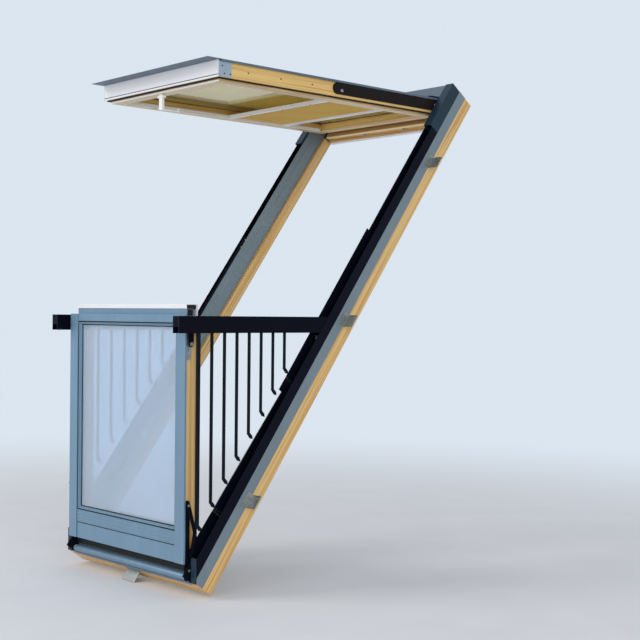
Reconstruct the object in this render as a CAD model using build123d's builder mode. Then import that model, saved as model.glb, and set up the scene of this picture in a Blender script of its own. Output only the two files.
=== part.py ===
from build123d import *
import os
from math import atan2, cos, degrees, hypot, radians, sin, tan

# A two-part balcony roof window, opened: the upper sash is a canopy and the lower sash a parapet.
# Millimetres. Every piece is drawn as it lies in the closed window, in three measures:
# x across the window, s up the slope of the roof and n out of the roof from the battens.
# Then its base plane carries it to the place that it has in the open window.

# the roof and the frame
ROOF_PITCH = 54
FRAME_WIDTH = 942
FRAME_LENGTH = 2595
FRAME_START = 25
FRAME_BACK = -50
JAMB_WIDTH = 44
JAMB_TOP = 35
LEDGE_WIDTH = 15
LEDGE_N = 4
LINING_GROOVE = 10
SILL_LENGTH = 55
SILL_LEDGE = 16
SILL_BEAD_RADIUS = 14
HEAD_LENGTH = 38
HEAD_LEDGE = 92
HEAD_POCKETS = 3
SHEET = 2
THIN_SHEET = 1.5
CHANNEL_RISE = 60
CHANNEL_WALL = 1.2
CHANNEL_SPLIT = 1000
GUARD_SPLIT = 888
GUARD_END = 1750
GUARD_RISE = 14
GUARD_TAPER = (21, -3)
SLOT_CLEARANCE = 2
SKIRT_N = (3, 50)
END_PLATE = 4
END_PLUG = 50
HEAD_CAP_LENGTH = 260
HEAD_CAP_RISE = 12
CASING_RISE = 23
HOOD_HINGE = (2546, 96)
HOOD_RADIUS = 3.5
HOOD_LENGTH = 68
HOOD_PIN_RADIUS = 1.7
BRACKET_WIDTH = 60
BRACKET_REACH = 55
BRACKET_SHEET = 3
BRACKET_RISE = 30
SIDE_BRACKETS = (420, 1320, 2220)

# both sashes
SASH_GAP = 2.5
COVER_LAP = 9
COVER_RISE = 6
COVER_WIDTH = 59
COVER_LIP = 9
STILE_WIDTH = 64
STILE_DEPTH = 64
SEAT_GAP = 1
REBATE_WIDTH = 14
REBATE_RISE = 28
PANE = 4
PANE_GAP = 16
SPACER_WIDTH = 10
GLASS_CLEARANCE = 2
BEAD_DEPTH = 14
BEAD_STEP = 6
INNER_FRAME_WIDTH = 40
INNER_FRAME_DEPTH = 14
INNER_FRAME_STEP = 18
SEAL_WIDTH = 12
SEAL_DEPTH = 4

# the lower sash, the parapet
LOWER_START = 92
LOWER_END = 1060
LOWER_FOOT_RAIL = 135
LOWER_HEAD_RAIL = 40
LOWER_HINGE_S = 35
HINGE_N = 53.5
FOOT_PLATE = 64
HEAD_BAND = 26
MEETING_RAIL = 29
WHITE_RAIL = 47
WHITE_RAIL_BACK = 8
WHITE_LIP = 18
WHITE_WALL = 3

# the upper sash, the canopy
UPPER_START = 1145
UPPER_END = 2475
UPPER_RAIL = 76
UPPER_HINGE_S = 2512
UPPER_HINGE_N = -10
OVERHANG = 65
FRONT_PANEL = 3
ARM_LENGTH = 700
ARM_HEIGHT = 50
ARM_THICKNESS = 5.5
CORNER_CAP = 62

# the railing
HANDRAIL_ARM = 915
HANDRAIL_FRONT = 85
HANDRAIL_REAR = 54
HANDRAIL_HEIGHT = 67
HANDRAIL_LIFT = 43.5
HANDRAIL_WALL = 2
HANDRAIL_GAP = 0.6
CAP_SLOT = 24
BALUSTER_COUNT = 8
BALUSTER_PITCH = 66.7
BALUSTER_FIRST = 14
BALUSTER_WIDTH = 14
BALUSTER_THICKNESS = 4
BALUSTER_LIFT = 55
FOOT_RISE = 50
GLIDE_LIFT = 22
STAY_THICKNESS = 3
STAY_SASH = (320, 60)
STAY_FRAME = (60, 70)
STAY_KNEE = (190, 135)
STAY_RADIUS = 7
STAY_EYE_RADIUS = 5

# the blind and the handles
BLIND_BAR_S = 1800
BLIND_HEAD = 2150
BLIND_THICKNESS = 4
PULL_X = -26
PULL_LENGTH = 66
PULL_WIDTH = 40
PULL_STEM = 22
PULL_ROD = 90
LATCH_LENGTH = 110

# fits
PIN_RADIUS = 5
SMALL_PIN_RADIUS = 3
PIN_FIT = 0.05
RUN_GAP = 0.5

# worked out from the sizes above
HALF = FRAME_WIDTH / 2
FRAME_END = FRAME_START + FRAME_LENGTH
JAMB_IN = HALF - JAMB_WIDTH
LEDGE_IN = JAMB_IN - LEDGE_WIDTH
CLADDING_IN = JAMB_IN - THIN_SHEET
COVER_OUT = CLADDING_IN - SASH_GAP
COVER_IN = COVER_OUT - COVER_WIDTH
STILE_OUT = COVER_OUT - COVER_LAP
STILE_IN = STILE_OUT - STILE_WIDTH
SASH_BACK = LEDGE_N + SEAT_GAP
STILE_TOP = SASH_BACK + STILE_DEPTH
COVER_N = STILE_TOP + COVER_RISE
REBATE_N = SASH_BACK + REBATE_RISE
GLASS_TOP = REBATE_N + 2 * PANE + PANE_GAP
INNER_N = SASH_BACK - INNER_FRAME_DEPTH
SILL_TOP = JAMB_TOP - SHEET
CHANNEL_TOP = JAMB_TOP + CHANNEL_RISE
HEAD_S = FRAME_END - HEAD_LENGTH
HEAD_LEDGE_S = HEAD_S - HEAD_LEDGE
POCKET = (HEAD_LEDGE_S - 6, UPPER_HINGE_S + 33)
POCKET_N = UPPER_HINGE_N - 20
HEAD_CAP_START = FRAME_END - HEAD_CAP_LENGTH
CASING_N = COVER_N + CASING_RISE
HANDRAIL_REACH = HANDRAIL_ARM / tan(radians(ROOF_PITCH))
HANDRAIL_PIVOT_S = LOWER_HINGE_S + HANDRAIL_ARM
CHANNEL_IN = JAMB_IN + CHANNEL_WALL
CHANNEL_OUT = HALF - CHANNEL_WALL
HANDRAIL_X = (CHANNEL_IN + HANDRAIL_GAP, CHANNEL_OUT - HANDRAIL_GAP)
HANDRAIL_IN = HANDRAIL_X[0] + HANDRAIL_WALL
HANDRAIL_OUT = HANDRAIL_X[1] - HANDRAIL_WALL
HANDRAIL_TOP = HANDRAIL_LIFT + HANDRAIL_HEIGHT
STAY_X = JAMB_IN + BRACKET_SHEET + RUN_GAP
STAY_OUT = STAY_X + 2 * STAY_THICKNESS + RUN_GAP
GUARD_START = STAY_FRAME[0] + 52
GUARD_TOP = CHANNEL_TOP + GUARD_RISE


def tilted(pitch):
    """A plane at this pitch through the origin, facing out of the roof, its x running across."""
    angle = radians(pitch)
    return Plane((0, 0, 0), x_dir=(1, 0, 0), z_dir=(0, -sin(angle), cos(angle)))


ROOF = tilted(ROOF_PITCH)


def swung(turn, s, n):
    """The roof plane, made steeper by this turn about the crosswise line at s and n."""
    turned = tilted(ROOF_PITCH + turn)
    shift = ROOF.from_local_coords((0, s, n)) - turned.from_local_coords((0, s, n))
    return Plane(shift, x_dir=(1, 0, 0), z_dir=turned.z_dir)


LOWER = swung(90 - ROOF_PITCH, LOWER_HINGE_S, HINGE_N)
UPPER = swung(-ROOF_PITCH, UPPER_HINGE_S, UPPER_HINGE_N)
# the handrails' own plane: x across, s back into the roof from their pivot, n straight up
HANDRAIL = Plane(LOWER.from_local_coords((0, HANDRAIL_PIVOT_S, HINGE_N)), x_dir=(1, 0, 0), z_dir=(0, 0, 1))


def across(base, x):
    """The plane of a side view at x: its x runs up the slope and its y out of the roof."""
    return Plane(base.from_local_coords((x, 0, 0)), x_dir=base.y_dir, z_dir=(1, 0, 0))


def along(base, s):
    """The plane of a cross-section at s: its x runs across and its y out of the roof."""
    return Plane(base.from_local_coords((0, s, 0)), x_dir=(1, 0, 0), z_dir=-base.y_dir)


def block(base, x, s, n, mode=Mode.ADD):
    """A box between pairs of x, s and n."""
    with BuildSketch(base.offset(n[0])) as outline:
        with Locations(((x[0] + x[1]) / 2, (s[0] + s[1]) / 2)):
            Rectangle(x[1] - x[0], s[1] - s[0])
    extrude(outline.sketch, amount=n[1] - n[0], mode=mode)


def length(base, s, corners, mode=Mode.ADD):
    """A length from s[0] to s[1] with one cross-section, given by its corners in x and n."""
    with BuildSketch(along(base, s[1])) as profile:
        with BuildLine():
            Polyline(*corners, close=True)
        make_face()
    extrude(profile.sketch, amount=s[1] - s[0], mode=mode)


def plate(base, x, corners, mode=Mode.ADD):
    """A plate from x[0] to x[1] whose side view is given by its corners in s and n."""
    with BuildSketch(across(base, x[0])) as profile:
        with BuildLine():
            Polyline(*corners, close=True)
        make_face()
    extrude(profile.sketch, amount=x[1] - x[0], mode=mode)


def rod(base, x, centre, radius, mode=Mode.ADD):
    """A round bar or a bore from x[0] to x[1], its centre in s and n."""
    with BuildSketch(across(base, x[0])) as disc:
        with Locations(centre):
            Circle(radius)
    extrude(disc.sketch, amount=x[1] - x[0], mode=mode)


def link(base, x, first, second, radius, mode=Mode.ADD):
    """A flat link with round ends between two points in s and n."""
    reach = (second[0] - first[0], second[1] - first[1])
    with BuildSketch(across(base, x[0])) as profile:
        with Locations(((first[0] + second[0]) / 2, (first[1] + second[1]) / 2)):
            SlotCenterToCenter(hypot(*reach), 2 * radius, rotation=degrees(atan2(reach[1], reach[0])))
    extrude(profile.sketch, amount=x[1] - x[0], mode=mode)


def boss(base, x, s, n, radius, mode=Mode.ADD):
    """A round boss or bore that stands square on the plane, between a pair of n."""
    with BuildSketch(base.offset(n[0])) as disc:
        with Locations((x, s)):
            Circle(radius)
    extrude(disc.sketch, amount=n[1] - n[0], mode=mode)


def ring(base, outer, inner, n, mode=Mode.ADD):
    """A flat frame: outer and inner are each a half width, a start and an end."""
    with BuildSketch(base.offset(n[0])) as outline:
        with Locations((0, (outer[1] + outer[2]) / 2)):
            Rectangle(2 * outer[0], outer[2] - outer[1])
        with Locations((0, (inner[1] + inner[2]) / 2)):
            Rectangle(2 * inner[0], inner[2] - inner[1], mode=Mode.SUBTRACT)
    extrude(outline.sketch, amount=n[1] - n[0], mode=mode)


def keep(piece, name):
    """Names a finished piece and writes it out."""
    piece.part.label = name
    export_step(piece.part, f"parts/{name}.step")


def keep_pair(right, name):
    """Writes a right hand piece and its mirror image together."""
    with BuildPart() as both:
        add(right.part)
        mirror(right.part, about=Plane.YZ)
    keep(both, name)


os.makedirs("parts", exist_ok=True)

# The pine frame: two jambs with a seat for the sashes, a head and a sill between them.
SCREW_N = BRACKET_RISE - 12
SCREW_S = (-18, 18)


def bracket_bores(x, radius, mode=Mode.SUBTRACT):
    """The bores for the screws of the side brackets."""
    for middle in SIDE_BRACKETS:
        for shift in SCREW_S:
            rod(ROOF, x, (middle + shift, SCREW_N), radius, mode)


with BuildPart() as jamb:
    length(ROOF, (FRAME_START, FRAME_END), [
        (LEDGE_IN, FRAME_BACK), (HALF, FRAME_BACK), (HALF, JAMB_TOP),
        (JAMB_IN, JAMB_TOP), (JAMB_IN, LEDGE_N), (LEDGE_IN, LEDGE_N)])
    block(ROOF, (LEDGE_IN, LEDGE_IN + LINING_GROOVE), (FRAME_START, FRAME_END),
          (FRAME_BACK, FRAME_BACK + LINING_GROOVE), Mode.SUBTRACT)
    block(ROOF, (LEDGE_IN, JAMB_IN), POCKET, (POCKET_N, LEDGE_N), Mode.SUBTRACT)
    bracket_bores((HALF - 30, HALF), SMALL_PIN_RADIUS)
keep_pair(jamb, "jambs")

with BuildPart() as sill:
    block(ROOF, (-LEDGE_IN, LEDGE_IN), (FRAME_START, FRAME_START + SILL_LENGTH + SILL_LEDGE),
          (FRAME_BACK, LEDGE_N))
    block(ROOF, (-JAMB_IN, JAMB_IN), (FRAME_START, FRAME_START + SILL_LENGTH), (LEDGE_N, SILL_TOP))
keep(sill, "sill")

POCKET_DIVIDER = 22
POCKET_SPAN = (2 * LEDGE_IN - POCKET_DIVIDER) / HEAD_POCKETS
POCKET_DEPTH = 9
with BuildPart() as head:
    block(ROOF, (-LEDGE_IN, LEDGE_IN), (HEAD_LEDGE_S, FRAME_END), (FRAME_BACK, LEDGE_N))
    block(ROOF, (-JAMB_IN, JAMB_IN), (HEAD_S, FRAME_END), (LEDGE_N, COVER_N - 8))
    for index in range(HEAD_POCKETS):
        start = POCKET_DIVIDER - LEDGE_IN + index * POCKET_SPAN
        block(ROOF, (start, start + POCKET_SPAN - POCKET_DIVIDER),
              (HEAD_LEDGE_S, HEAD_LEDGE_S + POCKET_DEPTH), (FRAME_BACK + 20, LEDGE_N - 12), Mode.SUBTRACT)
keep(head, "head")

with BuildPart() as head_trim:
    block(ROOF, (1 - LEDGE_IN, LEDGE_IN - 1), (HEAD_LEDGE_S - 4, HEAD_LEDGE_S), (FRAME_BACK, FRAME_BACK + 12))
keep(head_trim, "head_trim")

# The folded aluminium on the frame: skins and skirts of the jambs, sill sheet with its bead, head casing.
RAIL_N = JAMB_TOP + SHEET


def plumb_s(n):
    """How far up the slope the side rails' upright lower end lies at this n."""
    return FRAME_START + (n - RAIL_N) * tan(radians(ROOF_PITCH))


with BuildPart() as jamb_cladding:
    length(ROOF, (FRAME_START + SILL_LENGTH, CHANNEL_SPLIT), [
        (CLADDING_IN, LEDGE_N + SHEET), (JAMB_IN, LEDGE_N + SHEET),
        (JAMB_IN, JAMB_TOP), (CLADDING_IN, JAMB_TOP)])
    length(ROOF, (CHANNEL_SPLIT, HEAD_S), [
        (CLADDING_IN, LEDGE_N + SHEET), (JAMB_IN, LEDGE_N + SHEET), (JAMB_IN, CHANNEL_TOP),
        (CLADDING_IN, CHANNEL_TOP), (CLADDING_IN, CHANNEL_TOP - 30), (CLADDING_IN - 1, CHANNEL_TOP - 32),
        (CLADDING_IN - 1, CHANNEL_TOP - 35), (CLADDING_IN, CHANNEL_TOP - 37)])
    plate(ROOF, (HALF, HALF + THIN_SHEET), [
        (FRAME_START, SKIRT_N[0]), (FRAME_END, SKIRT_N[0]), (FRAME_END, SKIRT_N[1]),
        (plumb_s(SKIRT_N[1]), SKIRT_N[1]), (FRAME_START, RAIL_N)])
    for middle in SIDE_BRACKETS:
        reach = BRACKET_WIDTH / 2 + 1
        block(ROOF, (HALF, HALF + THIN_SHEET), (middle - reach, middle + reach),
              (SKIRT_N[0], BRACKET_RISE + 1), Mode.SUBTRACT)
keep_pair(jamb_cladding, "jamb_claddings")

SILL_BEAD = (FRAME_START + SILL_BEAD_RADIUS, SILL_TOP + SILL_BEAD_RADIUS + 1)
BEAD_END = STILE_OUT - 6
with BuildPart() as sill_cladding:
    block(ROOF, (-JAMB_IN, JAMB_IN), (FRAME_START - SHEET, FRAME_START + SILL_LENGTH), (SILL_TOP, JAMB_TOP))
    block(ROOF, (-JAMB_IN, JAMB_IN), (FRAME_START - SHEET, FRAME_START), (BRACKET_RISE - 10, SILL_TOP))
    rod(ROOF, (-BEAD_END, BEAD_END), SILL_BEAD, SILL_BEAD_RADIUS)
    rod(ROOF, (-BEAD_END, BEAD_END), SILL_BEAD, SILL_BEAD_RADIUS - SHEET, Mode.SUBTRACT)
keep(sill_cladding, "sill_cladding")

CASING_START = HOOD_HINGE[0] + HOOD_RADIUS + 1.5
HOOD_OUT = COVER_OUT - 1
with BuildPart() as casing_side:
    block(ROOF, (CLADDING_IN - THIN_SHEET, CLADDING_IN), (HOOD_HINGE[0] - 6, FRAME_END),
          (COVER_N + 10, CASING_N))
    rod(ROOF, (HOOD_OUT - 12, CLADDING_IN - THIN_SHEET), HOOD_HINGE, HOOD_PIN_RADIUS)
with BuildPart() as head_casing:
    plate(ROOF, (-CLADDING_IN, CLADDING_IN), [
        (CASING_START, CASING_N), (FRAME_END, CASING_N), (FRAME_END, COVER_N - 20),
        (FRAME_END + SHEET, COVER_N - 20), (FRAME_END + SHEET, CASING_N + SHEET),
        (CASING_START, CASING_N + SHEET)])
    add(casing_side.part)
    mirror(casing_side.part, about=Plane.YZ)
keep(head_casing, "head_casing")

# The hood between the casing and the upper sash. It lies on the canopy when the window is open.
HOOD = swung(-ROOF_PITCH, *HOOD_HINGE)
with BuildPart() as hood:
    rod(HOOD, (-HOOD_OUT, HOOD_OUT), HOOD_HINGE, HOOD_RADIUS)
    block(HOOD, (-HOOD_OUT, HOOD_OUT), (HOOD_HINGE[0] - HOOD_LENGTH, HOOD_HINGE[0]),
          (HOOD_HINGE[1] + HOOD_RADIUS - SHEET, HOOD_HINGE[1] + HOOD_RADIUS))
    for x in ((-HOOD_OUT, 13 - HOOD_OUT), (HOOD_OUT - 13, HOOD_OUT)):
        rod(HOOD, x, HOOD_HINGE, HOOD_PIN_RADIUS + PIN_FIT, Mode.SUBTRACT)
keep(hood, "hood")

# The black side rails, in which the railing folds: flat strips on the jambs, outer bars and inner guards.
with BuildPart() as rail_floor:
    block(ROOF, (JAMB_IN, CHANNEL_OUT), (FRAME_START, HEAD_CAP_START), (JAMB_TOP, RAIL_N))
keep_pair(rail_floor, "rail_floors")


def guard_slot(centre, radius, top):
    """The slot in a guard through which a pin of the lower sash swings out."""
    arm = hypot(centre[0] - LOWER_HINGE_S, centre[1] - HINGE_N)
    above = LOWER_HINGE_S + (arm ** 2 - (top - HINGE_N) ** 2) ** 0.5
    block(ROOF, (JAMB_IN, CHANNEL_IN), (above - radius - SLOT_CLEARANCE, centre[0] + radius + SLOT_CLEARANCE),
          (centre[1] - radius - SLOT_CLEARANCE, top), Mode.SUBTRACT)


LOWER_GUARD_TOP = CHANNEL_TOP + GUARD_TAPER[0]
with BuildPart() as side_rail:
    plate(ROOF, (CHANNEL_OUT, HALF), [
        (FRAME_START, JAMB_TOP), (HEAD_CAP_START, JAMB_TOP), (HEAD_CAP_START, CHANNEL_TOP),
        (plumb_s(CHANNEL_TOP), CHANNEL_TOP), (FRAME_START, RAIL_N)])
    block(ROOF, (JAMB_IN, CHANNEL_IN), (GUARD_END, HEAD_CAP_START), (RAIL_N, CHANNEL_TOP))
with BuildPart() as upper_guard:
    block(ROOF, (JAMB_IN, CHANNEL_IN), (GUARD_SPLIT, GUARD_END), (RAIL_N, GUARD_TOP))
    guard_slot((HANDRAIL_PIVOT_S, HINGE_N), PIN_RADIUS, GUARD_TOP)
with BuildPart() as lower_guard:
    plate(ROOF, (JAMB_IN, CHANNEL_IN), [
        (GUARD_START, RAIL_N), (GUARD_SPLIT, RAIL_N), (GUARD_SPLIT, CHANNEL_TOP + GUARD_TAPER[1]),
        (GUARD_START, LOWER_GUARD_TOP)])
    guard_slot(STAY_SASH, SMALL_PIN_RADIUS, LOWER_GUARD_TOP)
with BuildPart() as side_rails:
    for piece in (side_rail, upper_guard, lower_guard):
        for solid in piece.part.solids():
            add(solid)
            add(mirror(solid, about=Plane.YZ, mode=Mode.PRIVATE))
keep(side_rails, "side_rails")

HEAD_CAP_TOP = CHANNEL_TOP + HEAD_CAP_RISE
CAP_IN = STAY_OUT + SHEET
PLATE_SHIFT = (-END_PLATE * cos(radians(ROOF_PITCH)), END_PLATE * sin(radians(ROOF_PITCH)))
with BuildPart() as head_cap:
    length(ROOF, (HEAD_CAP_START, FRAME_END), [
        (JAMB_IN, JAMB_TOP), (HALF, JAMB_TOP), (HALF, HEAD_CAP_TOP), (JAMB_IN, HEAD_CAP_TOP)])
    length(ROOF, (HEAD_CAP_START, FRAME_END - SHEET), [
        (JAMB_IN + SHEET, JAMB_TOP + SHEET), (HALF - SHEET, JAMB_TOP + SHEET),
        (HALF - SHEET, HEAD_CAP_TOP - SHEET), (JAMB_IN + SHEET, HEAD_CAP_TOP - SHEET)], Mode.SUBTRACT)
    plate(ROOF, (CAP_IN, HALF), [
        (FRAME_START, RAIL_N), (plumb_s(CHANNEL_TOP), CHANNEL_TOP),
        (plumb_s(CHANNEL_TOP) + PLATE_SHIFT[0], CHANNEL_TOP + PLATE_SHIFT[1]),
        (FRAME_START + PLATE_SHIFT[0], RAIL_N + PLATE_SHIFT[1])])
    plate(ROOF, (CAP_IN, CHANNEL_OUT), [
        (FRAME_START, RAIL_N), (FRAME_START + END_PLUG, RAIL_N),
        (FRAME_START + END_PLUG, RAIL_N + END_PLUG / tan(radians(ROOF_PITCH)))])
keep_pair(head_cap, "rail_end_caps")

# The steel angles that hold the frame to the battens, with their screws.
with BuildPart() as angles:
    for middle in SIDE_BRACKETS:
        ends = (middle - BRACKET_WIDTH / 2, middle + BRACKET_WIDTH / 2)
        block(ROOF, (HALF, HALF + BRACKET_REACH), ends, (0, BRACKET_SHEET))
        block(ROOF, (HALF, HALF + BRACKET_SHEET), ends, (0, BRACKET_RISE))
        with Locations(ROOF):
            with Locations(*((HALF + BRACKET_REACH - 15, middle + shift) for shift in SCREW_S)):
                Hole(SMALL_PIN_RADIUS + 0.25, depth=BRACKET_SHEET * 3)
    bracket_bores((HALF, HALF + BRACKET_SHEET), SMALL_PIN_RADIUS + PIN_FIT)
with BuildPart() as mounting_brackets:
    add(angles.part)
    mirror(angles.part, about=Plane.YZ)
    block(ROOF, (-45, 45), (-FRAME_START, FRAME_START), (0, BRACKET_SHEET))
    block(ROOF, (-45, 45), (FRAME_START - BRACKET_SHEET, FRAME_START), (BRACKET_SHEET, BRACKET_RISE - 10.5))
keep(mounting_brackets, "mounting_brackets")

with BuildPart() as angle_screws:
    bracket_bores((HALF - 28, HALF + BRACKET_SHEET), SMALL_PIN_RADIUS - PIN_FIT, Mode.ADD)
    bracket_bores((HALF + BRACKET_SHEET, HALF + BRACKET_SHEET + 2.5), SMALL_PIN_RADIUS + 2.5, Mode.ADD)
keep_pair(angle_screws, "bracket_screws")


# A sash: rebated pine stiles and rails, an insulating glass unit, beads, inner frame, seal and covers.
def stile(base, s):
    length(base, s, [
        (STILE_IN, SASH_BACK), (STILE_OUT, SASH_BACK), (STILE_OUT, STILE_TOP),
        (STILE_IN + REBATE_WIDTH, STILE_TOP), (STILE_IN + REBATE_WIDTH, REBATE_N), (STILE_IN, REBATE_N)])


def rail(base, s, rebate):
    block(base, (-STILE_IN, STILE_IN), s, (SASH_BACK, STILE_TOP))
    block(base, (-STILE_IN, STILE_IN), rebate, (REBATE_N, STILE_TOP), Mode.SUBTRACT)


def sash_members(base, name, start, end, foot, crown):
    """The stiles and the two rails of a sash, and the opening that they leave for the glass."""
    with BuildPart() as stiles:
        stile(base, (start, end))
    keep_pair(stiles, f"{name}_stiles")
    with BuildPart() as rails:
        rail(base, (start, start + foot), (start + foot - REBATE_WIDTH, start + foot))
        rail(base, (end - crown, end), (end - crown, end - crown + REBATE_WIDTH))
    keep(rails, f"{name}_rails")
    return start + foot, end - crown


def sash_glass(base, name, light):
    """The two panes, the spacer between them and the bead that holds them."""
    lap = REBATE_WIDTH - GLASS_CLEARANCE
    glass = (STILE_IN + lap, light[0] - lap, light[1] + lap)
    width = 2 * glass[0]
    with BuildPart() as panes:
        for face in (REBATE_N, GLASS_TOP - PANE):
            block(base, (-glass[0], glass[0]), glass[1:], (face, face + PANE))
    keep(panes, f"{name}_panes")
    inset = (glass[0] - SPACER_WIDTH, glass[1] + SPACER_WIDTH, glass[2] - SPACER_WIDTH)
    with BuildPart() as spacer:
        ring(base, glass, inset, (REBATE_N + PANE, GLASS_TOP - PANE))
    keep(spacer, f"{name}_spacer")
    edge = REBATE_WIDTH - RUN_GAP
    around = (STILE_IN + edge, light[0] - edge, light[1] + edge)
    opening = (STILE_IN, light[0], light[1])
    stepped = (STILE_IN + BEAD_STEP, light[0] - BEAD_STEP, light[1] + BEAD_STEP)
    with BuildPart() as bead:
        ring(base, around, opening, (GLASS_TOP, GLASS_TOP + BEAD_DEPTH - BEAD_STEP))
        ring(base, around, stepped, (GLASS_TOP + BEAD_DEPTH - BEAD_STEP, GLASS_TOP + BEAD_DEPTH))
    keep(bead, f"{name}_bead")


def sash_back(base, name, start, end, light):
    """The pine inner frame on the back of a sash and the rubber seal around it."""
    outer = (STILE_IN + SHEET + INNER_FRAME_WIDTH, start + INNER_FRAME_STEP, end)
    inner = (STILE_IN + SHEET, light[0] - SHEET, light[1] + SHEET)
    with BuildPart() as inner_frame:
        ring(base, outer, inner, (INNER_N, SASH_BACK))
    keep(inner_frame, f"{name}_inner_frame")
    around = (outer[0] + SEAL_WIDTH, outer[1] - SEAL_WIDTH, outer[2] + SHEET)
    with BuildPart() as seal:
        ring(base, around, outer, (SASH_BACK - SEAL_DEPTH, SASH_BACK))
    return seal


def stile_cover(base, s):
    length(base, s, [
        (COVER_IN, STILE_TOP), (COVER_IN, COVER_N), (COVER_OUT, COVER_N), (COVER_OUT, COVER_N - COVER_LIP),
        (COVER_OUT - SHEET, COVER_N - COVER_LIP), (COVER_OUT - SHEET, COVER_N - SHEET),
        (COVER_IN + SHEET, COVER_N - SHEET), (COVER_IN + SHEET, STILE_TOP)])


# The lower sash, upright. Its covers, its meeting rail and the white rail on its top.
lower_light = sash_members(LOWER, "lower", LOWER_START, LOWER_END, LOWER_FOOT_RAIL, LOWER_HEAD_RAIL)
sash_glass(LOWER, "lower", lower_light)
lower_seal = sash_back(LOWER, "lower", LOWER_START, lower_light[1] + 18, lower_light)
FLAP_OUT = BEAD_END - SHEET
with BuildPart() as side_seal:
    block(LOWER, (STILE_OUT, STILE_OUT + SHEET), (LOWER_START + 8, LOWER_END - 10),
          (SASH_BACK, SASH_BACK + 10))
    mirror(about=Plane.YZ)
    add(lower_seal.part)
    block(LOWER, (-FLAP_OUT, FLAP_OUT), (LOWER_HINGE_S + 22, LOWER_START - SHEET),
          (JAMB_TOP + SHEET, JAMB_TOP + SHEET + 3))
keep(side_seal, "lower_seals")

LOWER_COVER = (LOWER_START - SHEET, LOWER_END + 5)
with BuildPart() as lower_cover:
    stile_cover(LOWER, LOWER_COVER)
keep_pair(lower_cover, "lower_stile_covers")

PLATE_OUT = COVER_IN - SHEET
FOOT_RIBS = 4
RIB_PITCH = 14
RIB_WIDTH = 5
FOOT_END = lower_light[0] - REBATE_WIDTH
with BuildPart() as foot_cover:
    block(LOWER, (-PLATE_OUT, PLATE_OUT), (LOWER_COVER[0], LOWER_START + FOOT_PLATE),
          (STILE_TOP, STILE_TOP + SHEET))
    block(LOWER, (-PLATE_OUT, PLATE_OUT), (LOWER_COVER[0], LOWER_START), (SASH_BACK + SHEET, STILE_TOP))
    for index in range(FOOT_RIBS):
        s = FOOT_END - index * RIB_PITCH
        block(LOWER, (-PLATE_OUT, PLATE_OUT), (s - RIB_WIDTH, s), (STILE_TOP, STILE_TOP + 4))
    block(LOWER, (-PLATE_OUT, PLATE_OUT), (LOWER_START + FOOT_PLATE, FOOT_END),
          (STILE_TOP, STILE_TOP + SHEET))
    block(LOWER, (-PLATE_OUT, PLATE_OUT), (LOWER_END - HEAD_BAND, LOWER_COVER[1]),
          (STILE_TOP, COVER_N - SHEET))
    block(LOWER, (-PLATE_OUT, PLATE_OUT), (LOWER_END, LOWER_COVER[1]), (STILE_TOP - 18, STILE_TOP))
keep(foot_cover, "lower_rail_covers")

MEETING = (LOWER_END, LOWER_END + MEETING_RAIL)
MEETING_N = (SASH_BACK + 15, STILE_TOP - 19)
MEETING_OUT = STILE_OUT - COVER_LAP - 5
with BuildPart() as meeting_rail:
    block(LOWER, (-MEETING_OUT, MEETING_OUT), MEETING, MEETING_N)
    block(LOWER, (-MEETING_OUT, MEETING_OUT), (MEETING[0] + SHEET, MEETING[1] - SHEET),
          (MEETING_N[0] + SHEET, MEETING_N[1] - SHEET), Mode.SUBTRACT)
keep(meeting_rail, "meeting_rail")

WHITE = (LOWER_END - 20, LOWER_END + WHITE_RAIL)
WHITE_BACK = SASH_BACK - WHITE_RAIL_BACK
WHITE_FRONT = MEETING_N[1] + WHITE_WALL
with BuildPart() as white_rail:
    plate(LOWER, (-MEETING_OUT, MEETING_OUT), [
        (WHITE[0], WHITE_BACK), (WHITE[1], WHITE_BACK), (WHITE[1], WHITE_FRONT),
        (WHITE[1] - WHITE_LIP, WHITE_FRONT), (WHITE[1] - WHITE_LIP, MEETING_N[1]),
        (WHITE[1] - WHITE_WALL, MEETING_N[1]), (WHITE[1] - WHITE_WALL, SASH_BACK),
        (WHITE[0], SASH_BACK), (WHITE[0], SASH_BACK - WHITE_WALL),
        (WHITE[1] - WHITE_WALL, SASH_BACK - WHITE_WALL), (WHITE[1] - WHITE_WALL, WHITE_BACK + WHITE_WALL),
        (WHITE[0], WHITE_BACK + WHITE_WALL)])
keep(white_rail, "white_rail")

# The ironwork of the lower sash: hinge arms, their brackets on the frame, pivots for the handrails, stays.
LOWER_HINGE = (LOWER_HINGE_S, HINGE_N)
ARM_OUT = STILE_OUT + 4
ARM_RADIUS = 12
with BuildPart() as hinge_arm:
    link(LOWER, (STILE_OUT, ARM_OUT), LOWER_HINGE, (STAY_SASH[0] + 6, HINGE_N), ARM_RADIUS)
    rod(LOWER, (STILE_OUT, ARM_OUT), LOWER_HINGE, PIN_RADIUS + PIN_FIT, Mode.SUBTRACT)
    rod(LOWER, (STILE_OUT, STAY_OUT), STAY_SASH, SMALL_PIN_RADIUS)
keep_pair(hinge_arm, "lower_hinge_arms")

with BuildPart() as hinge_bracket:
    plate(ROOF, (JAMB_IN, JAMB_IN + BRACKET_SHEET), [
        (FRAME_START + 2, JAMB_TOP + SHEET), (STAY_FRAME[0] + 50, JAMB_TOP + SHEET),
        (STAY_FRAME[0] + 50, HINGE_N), (STAY_FRAME[0] + 16, STAY_FRAME[1] + 14),
        (FRAME_START + 2, STAY_FRAME[1] + 14)])
    rod(ROOF, (STILE_OUT - RUN_GAP, JAMB_IN), LOWER_HINGE, PIN_RADIUS)
    rod(ROOF, (JAMB_IN + BRACKET_SHEET, STAY_X + STAY_THICKNESS), STAY_FRAME, SMALL_PIN_RADIUS)
keep_pair(hinge_bracket, "lower_hinge_brackets")

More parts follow.
